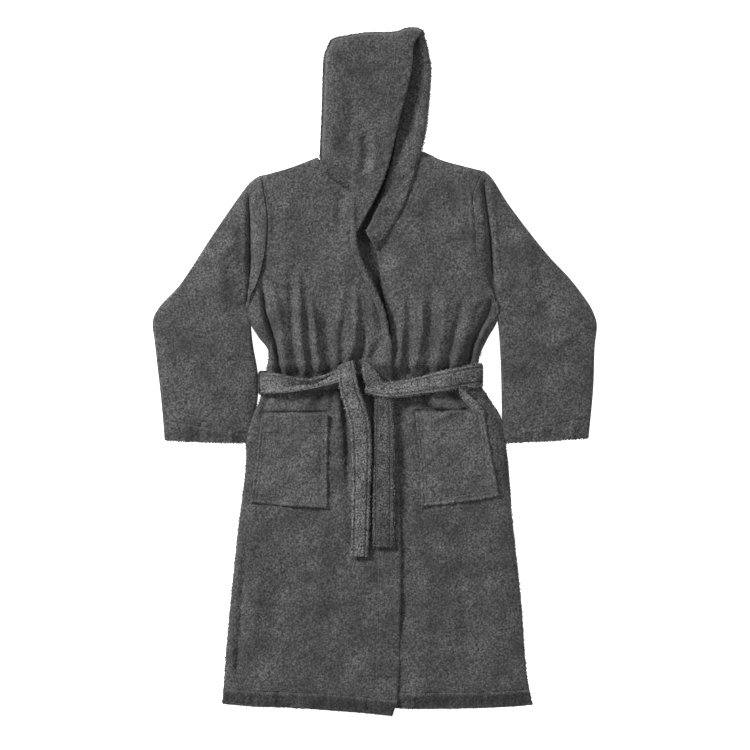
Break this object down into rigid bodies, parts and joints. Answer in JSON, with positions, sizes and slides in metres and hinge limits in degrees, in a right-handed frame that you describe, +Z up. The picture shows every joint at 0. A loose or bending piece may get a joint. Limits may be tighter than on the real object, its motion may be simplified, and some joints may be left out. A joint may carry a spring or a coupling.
{
  "type": "hooded bathrobe",
  "caption": "Hooded terry bathrobe lying on its back, fronts lapped and held by a tied belt, with patch pockets, long sleeves and a hood laid flat.",
  "frame": {"origin": "on the surface the robe lies on, under the middle of its bounding box", "axes": "+Z up from the surface, +Y from the hem to the hood, +X to the wearer's left side"},
  "size_m": [0.97, 1.512, 0.0622],
  "materials": {
    "robe_terry": "dark grey looped terry, matt",
    "band_terry": "dark grey terry folded double and topstitched",
    "belt_terry": "dark grey terry sewn double, edges topstitched",
    "loop_braid": "dark grey cotton braid"
  },
  "bodies": {
    "robe": {"back_panel": "robe_terry", "right_front_panel": "robe_terry", "left_front_panel": "robe_terry", "right_front_facing": "band_terry", "left_front_facing": "band_terry", "right_lapel": "band_terry", "left_lapel": "band_terry", "right_pocket": "robe_terry", "left_pocket": "robe_terry", "belt_waist": "belt_terry", "belt_knot": "belt_terry", "right_belt_loop": "loop_braid", "left_belt_loop": "loop_braid"},
    "right_sleeve": {"right_sleeve": "robe_terry"},
    "left_sleeve": {"left_sleeve": "robe_terry"},
    "hood": {"right_hood_half": "robe_terry", "left_hood_half": "robe_terry", "right_hood_band": "band_terry", "left_hood_band": "band_terry"},
    "belt_tail_upper": {"belt_tail_upper": "belt_terry"},
    "belt_tail_lower": {"belt_tail_lower": "belt_terry"},
    "hanger_loop": {"hanger_loop": "loop_braid"}
  },
  "joints": [
    {"name": "right_sleeve_swing", "type": "hinge", "parent": "robe", "child": "right_sleeve", "pos_m": [-0.263, 0.275, 0.0127], "axis": [0, 0, -1], "range_deg": [0, 35]},
    {"name": "left_sleeve_swing", "type": "hinge", "parent": "robe", "child": "left_sleeve", "pos_m": [0.263, 0.275, 0.0127], "axis": [0, 0, 1], "range_deg": [0, 35]},
    {"name": "hood_fold", "type": "hinge", "parent": "robe", "child": "hood", "pos_m": [0, 0.48, 0.0385], "axis": [1, 0, 0], "range_deg": [0, 170]},
    {"name": "upper_tail_swing", "type": "hinge", "parent": "robe", "child": "belt_tail_upper", "pos_m": [-0.033, -0.014, 0.0535], "axis": [0, 0, 1], "range_deg": [-35, 35]},
    {"name": "lower_tail_swing", "type": "hinge", "parent": "robe", "child": "belt_tail_lower", "pos_m": [-0.033, -0.014, 0.0472], "axis": [0, 0, 1], "range_deg": [-35, 35]},
    {"name": "hanger_loop_flip", "type": "hinge", "parent": "robe", "child": "hanger_loop", "pos_m": [0, 0.473, 0.0053], "axis": [-1, 0, 0], "range_deg": [0, 40]}
  ]
}
